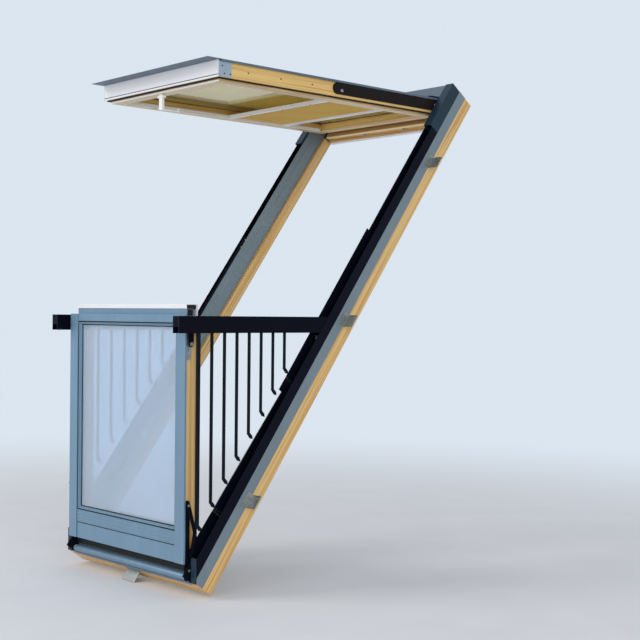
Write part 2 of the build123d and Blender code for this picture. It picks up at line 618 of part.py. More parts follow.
HANDRAIL_PIVOT = (HANDRAIL_PIVOT_S, HINGE_N)
LUG = 4
PIVOT_PLATE = (50, 35)
with BuildPart() as handrail_pivot:
    link(LOWER, (STILE_OUT, ARM_OUT), (HANDRAIL_PIVOT_S - PIVOT_PLATE[0], HINGE_N),
         (HANDRAIL_PIVOT_S + PIVOT_PLATE[1], HINGE_N), ARM_RADIUS)
    rod(LOWER, (ARM_OUT, HANDRAIL_IN + LUG + 1), HANDRAIL_PIVOT, PIN_RADIUS)
    rod(LOWER, (HANDRAIL_IN + LUG + RUN_GAP, HANDRAIL_IN + LUG + 3), HANDRAIL_PIVOT, PIN_RADIUS + 3)
keep_pair(handrail_pivot, "handrail_pivots")


def turned_point(point, turn, centre):
    """A point in s and n, turned about a centre, a positive turn lifting what lies up the slope."""
    angle = radians(turn)
    s, n = point[0] - centre[0], point[1] - centre[1]
    return centre[0] + s * cos(angle) - n * sin(angle), centre[1] + s * sin(angle) + n * cos(angle)


# the stays' upper ends in the open window, in the roof's own s and n
STAY_TOP = turned_point(STAY_SASH, 90 - ROOF_PITCH, LOWER_HINGE)
with BuildPart() as lower_link:
    x = (STAY_X, STAY_X + STAY_THICKNESS)
    link(ROOF, x, STAY_FRAME, STAY_KNEE, STAY_RADIUS)
    rod(ROOF, x, STAY_FRAME, SMALL_PIN_RADIUS + PIN_FIT, Mode.SUBTRACT)
    rod(ROOF, (x[1], x[1] + RUN_GAP + STAY_THICKNESS), STAY_KNEE, 2)
keep_pair(lower_link, "stay_frame_links")

with BuildPart() as upper_link:
    x = (STAY_X + STAY_THICKNESS + RUN_GAP, STAY_X + 2 * STAY_THICKNESS + RUN_GAP)
    link(ROOF, x, STAY_TOP, STAY_KNEE, STAY_RADIUS + 1)
    rod(ROOF, x, STAY_TOP, SMALL_PIN_RADIUS + PIN_FIT, Mode.SUBTRACT)
    rod(ROOF, x, STAY_KNEE, STAY_EYE_RADIUS, Mode.SUBTRACT)
keep_pair(upper_link, "stay_sash_links")

# The railing: two handrails, hollow and open below, that pivot on the lower sash and glide in the channels.
HANDRAIL_END = HANDRAIL_REACH + HANDRAIL_REAR
GLIDE = (HANDRAIL_REACH, GLIDE_LIFT)
PIVOT_HEAD = 60
with BuildPart() as handrail:
    length(HANDRAIL, (-HANDRAIL_FRONT, HANDRAIL_END), [
        (HANDRAIL_X[0], HANDRAIL_LIFT), (HANDRAIL_IN, HANDRAIL_LIFT),
        (HANDRAIL_IN, HANDRAIL_TOP - HANDRAIL_WALL), (HANDRAIL_OUT, HANDRAIL_TOP - HANDRAIL_WALL),
        (HANDRAIL_OUT, HANDRAIL_LIFT), (HANDRAIL_X[1], HANDRAIL_LIFT),
        (HANDRAIL_X[1], HANDRAIL_TOP), (HANDRAIL_X[0], HANDRAIL_TOP)])
    plate(HANDRAIL, HANDRAIL_X, [
        (HANDRAIL_END, HANDRAIL_TOP), (HANDRAIL_END, HANDRAIL_LIFT - 1),
        (HANDRAIL_END - (HANDRAIL_HEIGHT + 1) / tan(radians(ROOF_PITCH)), HANDRAIL_LIFT - 1)], Mode.SUBTRACT)
    block(HANDRAIL, HANDRAIL_X, (-HANDRAIL_FRONT, 4 - HANDRAIL_FRONT),
          (HANDRAIL_LIFT + CAP_SLOT, HANDRAIL_TOP))
    link(HANDRAIL, (HANDRAIL_IN, HANDRAIL_IN + LUG), (0, 0), (0, PIVOT_HEAD), ARM_RADIUS)
    rod(HANDRAIL, (HANDRAIL_IN, HANDRAIL_IN + LUG), (0, 0), PIN_RADIUS + PIN_FIT, Mode.SUBTRACT)
    for x in ((HANDRAIL_IN, HANDRAIL_IN + LUG), (HANDRAIL_OUT - LUG, HANDRAIL_OUT)):
        link(HANDRAIL, x, GLIDE, (HANDRAIL_REACH, PIVOT_HEAD), ARM_RADIUS - 2)
keep_pair(handrail, "handrails")


def baluster_place(index):
    """Where baluster number index stands: how far back, and the middle of its own plane."""
    back = BALUSTER_FIRST + index * BALUSTER_PITCH
    step = (HANDRAIL_OUT - HANDRAIL_IN) / BALUSTER_COUNT
    return back, HANDRAIL_OUT - (index + 0.5) * step


with BuildPart() as railing_pins:
    for index in range(BALUSTER_COUNT):
        back, middle = baluster_place(index)
        rod(HANDRAIL, (middle - BALUSTER_THICKNESS / 2, HANDRAIL_OUT), (back, BALUSTER_LIFT),
            SMALL_PIN_RADIUS)
    block(HANDRAIL, (HANDRAIL_IN + LUG, HANDRAIL_OUT - LUG), (HANDRAIL_REACH - 14, HANDRAIL_REACH + 14),
          (GLIDE_LIFT - 8, GLIDE_LIFT + 8))
keep_pair(railing_pins, "railing_pins")

# The balusters: flat bars, each in a plane of its own so that they fold past one another.
GUARD_FALL = (GUARD_TAPER[1] - GUARD_TAPER[0]) / (GUARD_SPLIT - GUARD_START)


def baluster_foot(back):
    """The height, against the handrail's pivot, at which a baluster ends above the guard."""
    angle = radians(ROOF_PITCH)
    pivot = HANDRAIL.origin
    edge = LOWER_GUARD_TOP - GUARD_FALL * GUARD_START + FOOT_RISE
    level = edge + (pivot.Y + back) * (sin(angle) + GUARD_FALL * cos(angle))
    return level / (cos(angle) - GUARD_FALL * sin(angle)) - pivot.Z


for index in range(BALUSTER_COUNT):
    back, middle = baluster_place(index)
    foot = baluster_foot(back)
    side = BALUSTER_WIDTH / 2
    with BuildPart() as baluster:
        x = (middle - BALUSTER_THICKNESS / 2, middle + BALUSTER_THICKNESS / 2)
        plate(HANDRAIL, x, [
            (back - side, BALUSTER_LIFT + side + 2), (back - side, foot), (back + side, foot - 18),
            (back + side + 14, foot - 22), (back + side + 12, foot - 8), (back + side, foot + 4),
            (back + side, BALUSTER_LIFT + side + 2)])
        rod(HANDRAIL, x, (back, BALUSTER_LIFT), SMALL_PIN_RADIUS + PIN_FIT, Mode.SUBTRACT)
    keep_pair(baluster, f"baluster_pair_{index + 1}")

# The upper sash, held level as a canopy: its white front, its covers and its hinge arms.
upper_light = sash_members(UPPER, "upper", UPPER_START, UPPER_END, UPPER_RAIL, UPPER_RAIL)
sash_glass(UPPER, "upper", upper_light)
upper_seal = sash_back(UPPER, "upper", UPPER_START, upper_light[1] + INNER_FRAME_WIDTH, upper_light)
keep(upper_seal, "upper_seal")

GROOVE = 8
with BuildPart() as front_panel:
    block(UPPER, (-STILE_OUT, STILE_OUT), (UPPER_START - FRONT_PANEL, UPPER_START),
          (SASH_BACK, COVER_N - SHEET))
    block(UPPER, (-STILE_OUT, STILE_OUT), (UPPER_START - FRONT_PANEL, UPPER_START - 1),
          (SASH_BACK + GROOVE, SASH_BACK + GROOVE + 3), Mode.SUBTRACT)
keep(front_panel, "front_panel")

with BuildPart() as upper_corner:
    block(UPPER, (STILE_OUT, STILE_OUT + SHEET), (UPPER_START - FRONT_PANEL, UPPER_START + CORNER_CAP),
          (SASH_BACK, STILE_TOP))
keep_pair(upper_corner, "upper_corner_caps")

FRONT_COVER = (UPPER_START - OVERHANG, UPPER_START + 5)
with BuildPart() as front_cover:
    block(UPPER, (-COVER_OUT, COVER_OUT), FRONT_COVER, (COVER_N - SHEET, COVER_N))
    block(UPPER, (-PLATE_OUT, PLATE_OUT), (FRONT_COVER[1], upper_light[0] - REBATE_WIDTH),
          (COVER_N - SHEET, COVER_N))
    for s in (FRONT_COVER[1], upper_light[0] - REBATE_WIDTH - SHEET):
        block(UPPER, (-PLATE_OUT, PLATE_OUT), (s, s + SHEET), (STILE_TOP, COVER_N - SHEET))
    block(UPPER, (-PLATE_OUT, PLATE_OUT), (upper_light[1] + REBATE_WIDTH, UPPER_END), (STILE_TOP, COVER_N))
    block(UPPER, (-PLATE_OUT, PLATE_OUT), (upper_light[1] + REBATE_WIDTH + SHEET, UPPER_END - SHEET),
          (STILE_TOP, COVER_N - SHEET), Mode.SUBTRACT)
keep(front_cover, "upper_rail_covers")

with BuildPart() as upper_cover:
    stile_cover(UPPER, (FRONT_COVER[1], UPPER_END))
keep_pair(upper_cover, "upper_stile_covers")

UPPER_HINGE = (UPPER_HINGE_S, UPPER_HINGE_N)
ARM_N = (STILE_TOP - 4 - ARM_HEIGHT, STILE_TOP - 4)
ARM_FRONT = UPPER_END - 10 - ARM_LENGTH + ARM_HEIGHT / 2
with BuildPart() as canopy_arm:
    x = (STILE_OUT, STILE_OUT + ARM_THICKNESS)
    plate(UPPER, x, [
        (ARM_FRONT, ARM_N[0]), (POCKET[0], ARM_N[0]), (UPPER_HINGE_S - ARM_RADIUS, UPPER_HINGE_N),
        (UPPER_HINGE_S + ARM_RADIUS, UPPER_HINGE_N), (UPPER_HINGE_S - 16, ARM_N[1] - 5),
        (UPPER_END - 5, ARM_N[1]), (ARM_FRONT, ARM_N[1])])
    rod(UPPER, x, UPPER_HINGE, ARM_RADIUS)
    rod(UPPER, x, (ARM_FRONT, sum(ARM_N) / 2), ARM_HEIGHT / 2)
    rod(UPPER, x, UPPER_HINGE, PIN_RADIUS + PIN_FIT, Mode.SUBTRACT)
keep_pair(canopy_arm, "canopy_arms")

with BuildPart() as canopy_bracket:
    block(ROOF, (JAMB_IN - LUG, JAMB_IN), (POCKET[0] + 1, POCKET[1] - 1), (POCKET_N + 1, LEDGE_N))
    rod(ROOF, (LEDGE_IN + RUN_GAP, JAMB_IN - LUG), UPPER_HINGE, PIN_RADIUS)
keep_pair(canopy_bracket, "canopy_brackets")

SIDE_SCREWS = 3
SCREW_SPAN = (UPPER_START + 150, ARM_FRONT - ARM_HEIGHT / 2 - 120)
CAP_SCREWS = ((15, 44), (26, 14), (56, 14))
with BuildPart() as sash_screws:
    for index in range(SIDE_SCREWS):
        s = SCREW_SPAN[0] + index * (SCREW_SPAN[1] - SCREW_SPAN[0]) / (SIDE_SCREWS - 1)
        rod(UPPER, (STILE_OUT, STILE_OUT + 1.5), (s, (SASH_BACK + STILE_TOP) / 2), SMALL_PIN_RADIUS)
    for s, n in CAP_SCREWS:
        rod(UPPER, (STILE_OUT + SHEET, STILE_OUT + SHEET + 1.5), (UPPER_START + s, SASH_BACK + n),
            SMALL_PIN_RADIUS)
keep_pair(sash_screws, "upper_screws")

# The pull handle under the canopy's front edge, and the latch on the inner side of the lower sash.
PULL_S = UPPER_START + INNER_FRAME_STEP + 16
STEM_END = INNER_N - PULL_LENGTH
with BuildPart() as pull:
    boss(UPPER, PULL_X, PULL_S, (INNER_N - 9, INNER_N - RUN_GAP), PULL_STEM / 2)
    block(UPPER, (PULL_X - PULL_WIDTH / 2, PULL_X + PULL_WIDTH / 2), (PULL_S - 8, PULL_S + 8),
          (INNER_N - 15, INNER_N - 6))
    block(UPPER, (PULL_X - PULL_STEM / 2, PULL_X + PULL_STEM / 2), (PULL_S - 6, PULL_S + 6),
          (STEM_END, INNER_N - 15))
    block(UPPER, (PULL_X - 3, PULL_X + 3), (PULL_S, PULL_S + PULL_ROD), (STEM_END, STEM_END + 5))
    block(UPPER, (PULL_X - 4, PULL_X + 4), (PULL_S + PULL_ROD - 6, PULL_S + PULL_ROD),
          (STEM_END, STEM_END + 16))
keep(pull, "pull_handle")

LATCH_S = lower_light[1] + 9
with BuildPart() as latch_seat:
    block(LOWER, (-30, 30), (LATCH_S - 8, LATCH_S + 8), (INNER_N - 8, INNER_N))
keep(latch_seat, "latch_seat")

LATCH_GAP = 0.3
with BuildPart() as latch:
    block(LOWER, (-10, LATCH_LENGTH), (LATCH_S - 6, LATCH_S + 6), (INNER_N - 24, INNER_N - 16))
    boss(LOWER, 0, LATCH_S, (INNER_N - 16, INNER_N - 8 - LATCH_GAP), 6)
keep(latch, "latch_lever")

# The pleated blind under the canopy's glass: headrail, fabric, bottom bar and side guides.
BLIND_OUT = STILE_IN - 6
BLIND_N = (INNER_N + 1, INNER_N + 17)
GUIDE_END = upper_light[1] - 12
with BuildPart() as blind_headrail:
    block(UPPER, (-BLIND_OUT, BLIND_OUT), (BLIND_HEAD - 24, BLIND_HEAD), (INNER_N + 1, INNER_N + 23))
keep(blind_headrail, "blind_headrail")

with BuildPart() as blind_guide:
    block(UPPER, (BLIND_OUT, STILE_IN), (upper_light[0] + 8, GUIDE_END), BLIND_N)
keep_pair(blind_guide, "blind_guides")

with BuildPart() as blind_fabric:
    fabric_n = sum(BLIND_N) / 2
    block(UPPER, (-BLIND_OUT + 4, BLIND_OUT - 4), (BLIND_BAR_S + 9 + LATCH_GAP, BLIND_HEAD - 24 - LATCH_GAP),
          (fabric_n - BLIND_THICKNESS / 2, fabric_n + BLIND_THICKNESS / 2))
keep(blind_fabric, "blind_fabric")

with BuildPart() as blind_bar:
    block(UPPER, (LATCH_GAP - BLIND_OUT, BLIND_OUT - LATCH_GAP), (BLIND_BAR_S - 9, BLIND_BAR_S + 9), BLIND_N)
keep(blind_bar, "blind_bar")
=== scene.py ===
from math import cos, pi, radians, sin

import bmesh
import bpy
from mathutils import Matrix, Vector


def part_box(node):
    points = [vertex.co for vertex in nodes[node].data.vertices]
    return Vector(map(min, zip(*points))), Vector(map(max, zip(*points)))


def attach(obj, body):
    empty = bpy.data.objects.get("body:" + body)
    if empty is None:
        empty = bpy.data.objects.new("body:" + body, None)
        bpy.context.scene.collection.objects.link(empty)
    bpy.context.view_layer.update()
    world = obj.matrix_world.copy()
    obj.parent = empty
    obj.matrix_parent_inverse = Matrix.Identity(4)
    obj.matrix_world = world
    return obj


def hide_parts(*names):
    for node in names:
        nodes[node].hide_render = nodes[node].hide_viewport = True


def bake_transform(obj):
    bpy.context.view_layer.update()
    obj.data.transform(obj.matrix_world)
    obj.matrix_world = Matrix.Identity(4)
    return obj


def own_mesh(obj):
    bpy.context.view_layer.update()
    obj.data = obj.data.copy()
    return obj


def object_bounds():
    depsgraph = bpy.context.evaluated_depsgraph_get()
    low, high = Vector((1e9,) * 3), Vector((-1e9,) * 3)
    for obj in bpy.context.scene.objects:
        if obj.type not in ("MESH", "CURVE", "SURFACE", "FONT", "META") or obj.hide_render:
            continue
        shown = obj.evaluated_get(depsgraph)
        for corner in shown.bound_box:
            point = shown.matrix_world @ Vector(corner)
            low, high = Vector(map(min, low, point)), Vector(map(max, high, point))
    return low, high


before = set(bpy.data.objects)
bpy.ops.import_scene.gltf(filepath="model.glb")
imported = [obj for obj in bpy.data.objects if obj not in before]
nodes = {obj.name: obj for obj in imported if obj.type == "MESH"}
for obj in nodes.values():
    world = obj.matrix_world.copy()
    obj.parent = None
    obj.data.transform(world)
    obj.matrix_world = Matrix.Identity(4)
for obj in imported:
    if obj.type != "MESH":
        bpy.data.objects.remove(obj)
cad_low, cad_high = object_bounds()

# The camera: lower than the canopy, out to the right in front of the window,
# with a long lens that looks level at the window's middle.
CAMERA_PLACE = (4.3523, -2.9309, 1.0948)
CAMERA_YAW, CAMERA_PITCH, CAMERA_ROLL = 0.8294, -0.0043, 0.0091
LENS = 70.02
camera = bpy.data.objects.new("camera", bpy.data.cameras.new("camera"))
bpy.context.scene.collection.objects.link(camera)
bpy.context.scene.camera = camera
camera.matrix_world = (
    Matrix.Translation(CAMERA_PLACE) @ Matrix.Rotation(CAMERA_YAW, 4, "Z")
    @ Matrix.Rotation(pi / 2 + CAMERA_PITCH, 4, "X") @ Matrix.Rotation(CAMERA_ROLL, 4, "Z"))
camera.data.lens = LENS

# The floor and the light of a plain studio: a pale floor just below the window,
# one even sky, a soft key lamp from the left, a fill from the right and a low one.
BACKDROP = (0.86, 0.9, 0.94)
SKY_LIGHT = (0.5, 0.52, 0.56, 1)
FLOOR_HALF = 40
FLOOR_GAP = 0.001
FLOOR_NEAR, FLOOR_FAR = 2.2, 6.5

# the numbers of a colour Mix node's sockets, because its names stand for several sockets each
MIX_AMOUNT, MIX_FIRST, MIX_SECOND, MIX_RESULT = 0, 6, 7, 2


def linear(colour):
    """A colour as it is seen, turned into the amounts of light that Blender counts in."""
    return [c / 12.92 if c < 0.04045 else ((c + 0.055) / 1.055) ** 2.4 for c in colour] + [1]


class Tone:
    """A value that changes over a surface. Sums and products of tones add the Math nodes."""

    def __init__(self, finish, socket):
        self.finish = finish
        self.socket = socket

    def sum_of(self, operation, *values):
        return self.finish.node("ShaderNodeMath", {"operation": operation}, dict(enumerate(values)))

    def __add__(self, other):
        return self.sum_of("ADD", self, other)

    def __sub__(self, other):
        return self.sum_of("SUBTRACT", self, other)

    def __rsub__(self, other):
        return self.sum_of("SUBTRACT", other, self)

    def __mul__(self, other):
        return self.sum_of("MULTIPLY", self, other)

    def __lt__(self, level):
        return self.sum_of("LESS_THAN", self, level)

    def __gt__(self, level):
        return self.sum_of("GREATER_THAN", self, level)

    __radd__ = __add__
    __rmul__ = __mul__


class Finish:
    """A material: its colour, how rough it is, and what its surface does close up."""

    def __init__(self, name, colour, roughness, slot=None, **fixed):
        self.slot = slot
        self.material = bpy.data.materials.new(name)
        self.material.use_nodes = True
        self.tree = self.material.node_tree
        self.shader = self.tree.nodes["Principled BSDF"]
        self.put(self.shader.inputs["Base Color"], linear(colour))
        self.put(self.shader.inputs["Roughness"], roughness)
        for socket, value in fixed.items():
            self.put(self.shader.inputs[socket.replace("_", " ")], value)

    def put(self, socket, value):
        if isinstance(value, Tone):
            self.tree.links.new(value.socket, socket)
        else:
            socket.default_value = value

    def node(self, kind, settings=None, sockets=None, out=0):
        """Any other node, from its type, its settings, and the values or links of its sockets."""
        made = self.tree.nodes.new(kind)
        for key, value in (settings or {}).items():
            if key == "stops":
                while len(made.color_ramp.elements) < len(value):
                    made.color_ramp.elements.new(1)
                for element, (place, colour) in zip(made.color_ramp.elements, value):
                    element.position = place
                    element.color = linear(colour)
            else:
                setattr(made, key, value)
        for key, value in (sockets or {}).items():
            self.put(made.inputs[key], value)
        return Tone(self, made.outputs[out])

    def place(self, scale=(1, 1, 1)):
        """Where a point of the surface is in the window, stretched by scale."""
        spot = self.node("ShaderNodeTexCoord", out="Object")
        return self.node("ShaderNodeMapping", {}, {"Vector": spot, "Scale": scale})

    def measure(self, direction):
        """How far a point of the surface lies along this direction from the window's origin."""
        spot = self.node("ShaderNodeTexCoord", out="Object")
        return self.node("ShaderNodeVectorMath", {"operation": "DOT_PRODUCT"},
                         {0: spot, 1: direction}, out="Value")

    def noise(self, scale, detail=2.0, stretch=(1, 1, 1), where=None):
        return self.node("ShaderNodeTexNoise", {}, {
            "Vector": where or self.place(stretch), "Scale": scale, "Detail": detail})

    def mix(self, amount, first, second):
        """One colour turning into another."""
        made = self.tree.nodes.new("ShaderNodeMix")
        made.data_type = "RGBA"
        for number, value in ((MIX_AMOUNT, amount), (MIX_FIRST, first), (MIX_SECOND, second)):
            self.put(made.inputs[number], linear(value) if isinstance(value, tuple) else value)
        return Tone(self, made.outputs[MIX_RESULT])

    def colour(self, tone):
        self.put(self.shader.inputs["Base Color"], tone)

    def mottle(self, scale, first, second, detail=2.0):
        """Lets the colour wander between two others, in soft spots."""
        self.colour(self.mix(self.noise(scale, detail), first, second))

    def rough(self, tone):
        self.put(self.shader.inputs["Roughness"], tone)

    def bump(self, height, depth, strength=1.0):
        self.put(self.shader.inputs["Normal"], self.node("ShaderNodeBump", {}, {
            "Height": height, "Distance": depth, "Strength": strength}))


def link_mesh(name, shape, finish):
    """A finished mesh as an object of its own."""
    mesh = bpy.data.meshes.new(name)
    shape.to_mesh(mesh)
    shape.free()
    made = bpy.data.objects.new(name, mesh)
    bpy.context.scene.collection.objects.link(made)
    mesh.materials.append(finish.material)
    return made


floor_finish = Finish("floor", (0.88, 0.89, 0.9), 0.7)
floor_finish.mottle(3, (0.86, 0.87, 0.88), (0.9, 0.9, 0.91))
floor = bmesh.new()
bmesh.ops.create_grid(floor, x_segments=1, y_segments=1, size=FLOOR_HALF)
bmesh.ops.translate(floor, verts=floor.verts, vec=(0, 0, cad_low.z - FLOOR_GAP))
link_mesh("floor", floor, floor_finish)

world = bpy.data.worlds.new("studio")
bpy.context.scene.world = world
world.use_nodes = True
sky = world.node_tree


def seen_rays(tree):
    """1 for the rays that look at a thing, straight or in metal and glass, and 0 for those that light it."""
    rays = tree.nodes.new("ShaderNodeLightPath")
    found = rays.outputs["Is Camera Ray"]
    for other in ("Is Glossy Ray", "Is Transmission Ray"):
        either = tree.nodes.new("ShaderNodeMath")
        either.operation = "MAXIMUM"
        tree.links.new(found, either.inputs[0])
        tree.links.new(rays.outputs[other], either.inputs[1])
        found = either.outputs[0]
    return found


blend_sky = sky.nodes.new("ShaderNodeMix")
blend_sky.data_type = "RGBA"
sky.links.new(seen_rays(sky), blend_sky.inputs[MIX_AMOUNT])
blend_sky.inputs[MIX_FIRST].default_value = SKY_LIGHT
blend_sky.inputs[MIX_SECOND].default_value = linear(BACKDROP)
sky.links.new(blend_sky.outputs[MIX_RESULT], sky.nodes["Background"].inputs["Color"])

# away from the window the floor passes into the backdrop, as a studio's paper sweep does
reach = floor_finish.node("ShaderNodeVectorMath", {"operation": "LENGTH"},
                          {0: floor_finish.place()}, out="Value")
away = floor_finish.node("ShaderNodeMapRange", {"interpolation_type": "SMOOTHSTEP"}, {
    "Value": reach, "From Min": FLOOR_NEAR, "From Max": FLOOR_FAR})
paper = floor_finish.node("ShaderNodeEmission", {}, {"Color": linear(BACKDROP)})
sweep = floor_finish.node("ShaderNodeMixShader", {}, {
    0: away * Tone(floor_finish, seen_rays(floor_finish.tree)),
    1: Tone(floor_finish, floor_finish.shader.outputs[0]), 2: paper})
floor_finish.tree.links.new(sweep.socket, floor_finish.tree.nodes["Material Output"].inputs["Surface"])


def lamp(name, place, aim, size, power, colour):
    light = bpy.data.objects.new(name, bpy.data.lights.new(name, "AREA"))
    bpy.context.scene.collection.objects.link(light)
    light.location = place
    light.rotation_euler = (Vector(aim) - Vector(place)).to_track_quat("-Z", "Y").to_euler()
    light.data.size = size
    light.data.energy = power
    light.data.color = colour


lamp("key", place=(-8.0, -12.0, 12.0), aim=(0, 0.4, 1.0), size=7.0, power=1150, colour=(1, 0.98, 0.95))
lamp("fill", place=(13.0, -5.0, 5.0), aim=(0, 0.4, 1.0), size=8.5, power=640, colour=(0.92, 0.96, 1))
lamp("low", place=(2.0, -9.0, 1.2), aim=(0, 0.6, 1.6), size=6.0, power=250, colour=(1, 0.97, 0.92))

# The pine frame, set at a slope: two jambs, a sill and a head, glued up, planed and clear lacquered.
# The grain runs along each member, and its edges are eased a little as a moulder leaves them.
PITCH = radians(54)
ROOF_UP = (0, cos(PITCH), sin(PITCH))
ROOF_OUT = (0, -sin(PITCH), cos(PITCH))
ACROSS, INWARDS, UPWARDS = (1, 0, 0), (0, 1, 0), (0, 0, 1)
PINE_TINT = (0.86, 0.72, 0.47)
KNOT_TINT = (0.5, 0.32, 0.17)
KNOT_SIZE = 0.07
PLANED_EDGE = 0.0012
WELD_REACH = 0.00002
SHARP_ANGLE = radians(40)


def roof(x, s, n):
    """A point of the closed window in metres, from its millimetres across, up the slope and out of it."""
    return Vector((x, s * ROOF_UP[1] + n * ROOF_OUT[1], s * ROOF_UP[2] + n * ROOF_OUT[2])) / 1000


def dress(names, finish):
    """Gives these CAD nodes their finish."""
    for name in names:
        mesh = nodes[name].data
        mesh.materials.clear()
        mesh.materials.append(finish.material)


def ease(names, width, segments=2):
    """Rounds the sharp edges of these CAD nodes."""
    for name in names:
        weld = nodes[name].modifiers.new("weld", "WELD")
        weld.merge_threshold = WELD_REACH
        bevel = nodes[name].modifiers.new("ease", "BEVEL")
        bevel.width = width
        bevel.segments = segments
        bevel.limit_method = "ANGLE"
        bevel.angle_limit = SHARP_ANGLE
        bevel.use_clamp_overlap = True


def pine(name, along, aside, tint=PINE_TINT, light=None):
    """Pine whose grain runs along one line; the year rings show across it.
    In a mitred or glued up frame, the grain of the rails above and below the light runs aside.
    The numbers that up, side and deep are multiplied by say how often a figure repeats in a metre."""
    wood = Finish(name, tint, 0.4, Coat_Weight=0.2, Coat_Roughness=0.25)
    up = wood.measure(along)
    side = wood.measure(aside)
    deep = wood.measure(tuple(Vector(along).cross(Vector(aside))))
    if light:
        bottom, top, half = light
        in_rail = ((up < bottom) + (up > top)) * ((side < half) * (side > -half))
        up, side = up + in_rail * (side - up), side + in_rail * (up - side)

    def streaks(lengthways, sideways, deepways, detail=2.0):
        return wood.noise(1.0, detail, where=wood.node("ShaderNodeCombineXYZ", {}, {
            "X": up * lengthways, "Y": side * sideways, "Z": deep * deepways}))

    wander = streaks(1.6, 9.0, 9.0)
    rings = wood.noise(1.0, 3.0, where=wood.node("ShaderNodeCombineXYZ", {}, {
        "X": up * 0.9, "Y": (side + wander * 0.03) * 95.0, "Z": (deep + wander * 0.02) * 60.0}))
    fibre = streaks(12.0, 900.0, 900.0)
    stain = streaks(2.2, 14.0, 14.0, 1.0)
    knots = wood.node("ShaderNodeTexVoronoi", {}, {
        "Vector": wood.node("ShaderNodeCombineXYZ", {}, {"X": up * 1.7, "Y": side * 6.5, "Z": deep * 6.5}),
        "Scale": 1.0, "Randomness": 1.0})
    pale = tuple(min(1, c * 1.06) for c in tint)
    dark = (tint[0] * 0.86, tint[1] * 0.76, tint[2] * 0.6)
    stained = (tint[0] * 0.96, tint[1] * 0.87, tint[2] * 0.7)
    grain = wood.node("ShaderNodeValToRGB", {"stops": [
        (0.34, pale), (0.5, tint), (0.6, dark), (0.68, tint)]}, {"Fac": rings})
    warm = wood.mix(stain * 0.45, grain, stained)
    wood.colour(wood.mix((knots < KNOT_SIZE) * 0.75, warm, KNOT_TINT))
    wood.rough(0.36 + fibre * 0.12)
    wood.bump(rings * 0.5 + fibre * 0.5, 0.00025, 0.5)
    return wood


dress(["jambs"], pine("pine_jambs", ROOF_UP, ROOF_OUT))
dress(["sill", "head"], pine("pine_sill_and_head", ACROSS, ROOF_UP))
ease(["jambs", "sill", "head"], PLANED_EDGE)

# The folded aluminium on the frame: skins and skirts of the jambs, the sill sheet with its rolled bead,
# and the casing over the head. It is matt lacquered, with the faint ripple of rolled sheet.
SHEET_EDGE = 0.0007
RIPPLE = 0.00012


def lacquer(name, colour, roughness=0.42):
    """Satin lacquer on sheet: clouded, speckled, and streaked a little by the rolls and by rain."""
    sheet = Finish(name, colour, roughness, Metallic=0.2)
    cloud = sheet.noise(4, 3)
    speck = sheet.noise(900, 1)
    streak = sheet.noise(14, 2, (1, 1, 0.12))
    rain = sheet.noise(3, 3, (12, 1, 1))
    deep = tuple(c * 0.87 for c in colour)
    pale = tuple(min(1, c * 1.08 + 0.01) for c in colour)
    sheet.colour(sheet.mix(cloud * 0.4 + streak * 0.3 + rain * 0.3, deep, pale))
    sheet.rough(roughness - 0.06 + streak * 0.14)
    sheet.bump(speck * 0.25 + streak * 0.75, RIPPLE, 0.35)
    return sheet


dress(["jamb_claddings"], lacquer("jamb_lacquer", (0.46, 0.52, 0.55)))
dress(["sill_cladding"], lacquer("sill_lacquer", (0.42, 0.53, 0.62)))
dress(["head_casing"], lacquer("casing_lacquer", (0.35, 0.41, 0.46)))
ease(["sill_cladding", "head_casing"], SHEET_EDGE)

# The strips on the head: a white moulding along its inner side, a cream one along the upper edge
# of its face, and grey clips on the webs between its three pockets.
HEAD_FACE = 2490.2
STRIP_THICK, CLIP_THICK = 0.0018, 0.0014
CLIP_PLACES = (-401, -133.7, 133.7, 401)
CLIP_HALF = 7
FINE_EDGE = 0.0004
white_plastic = Finish("white_plastic", (0.93, 0.93, 0.92), 0.25, "white_plastic")
white_plastic.mottle(20, (0.91, 0.91, 0.9), (0.95, 0.95, 0.94))
dress(["head_trim"], white_plastic)
strip_plastic = Finish("head_strip_plastic", (0.97, 0.88, 0.72), 0.45, "white_plastic")
strip_plastic.mottle(30, (0.95, 0.85, 0.68), (0.99, 0.91, 0.76))
clip_plastic = Finish("head_clip_plastic", (0.5, 0.49, 0.45), 0.45, "white_plastic")
clip_plastic.mottle(30, (0.46, 0.45, 0.41), (0.55, 0.54, 0.5))


def oblong(left, right, low, high):
    """The corners of an oblong, in order round it."""
    return (left, low), (right, low), (right, high), (left, high)


def thicken(shape, thickness):
    """Draws the flat faces of a shape out by a vector, to a closed plate."""
    grown = bmesh.ops.extrude_face_region(shape, geom=shape.faces[:])["geom"]
    corners = [item for item in grown if isinstance(item, bmesh.types.BMVert)]
    bmesh.ops.translate(shape, verts=corners, vec=thickness)


def moulding(name, body, finish, corners, thickness, soft=0.001):
    """A plate between four corners, drawn out by its thickness, with rounded edges."""
    shape = bmesh.new()
    shape.faces.new([shape.verts.new(corner) for corner in corners])
    thicken(shape, thickness)
    bmesh.ops.bevel(shape, geom=shape.edges[:], offset=soft, affect="EDGES", segments=2, profile=0.5,
                    material=-1)
    bmesh.ops.recalc_face_normals(shape, faces=shape.faces)
    made = link_mesh(name, shape, finish)
    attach(made, body)
    return made


moulding("head_face_strip", "frame", strip_plastic,
         [roof(x, HEAD_FACE, n) for x, n in oblong(-409, 409, -8, 2.5)],
         Vector(ROOF_UP) * -STRIP_THICK, FINE_EDGE)
for number, middle_x in enumerate(CLIP_PLACES):
    moulding(f"head_clip_{number + 1}", "frame", clip_plastic,
             [roof(middle_x + aside, HEAD_FACE, n) for aside, n in oblong(-CLIP_HALF, CLIP_HALF, -30, -9)],
             Vector(ROOF_UP) * -CLIP_THICK, FINE_EDGE)

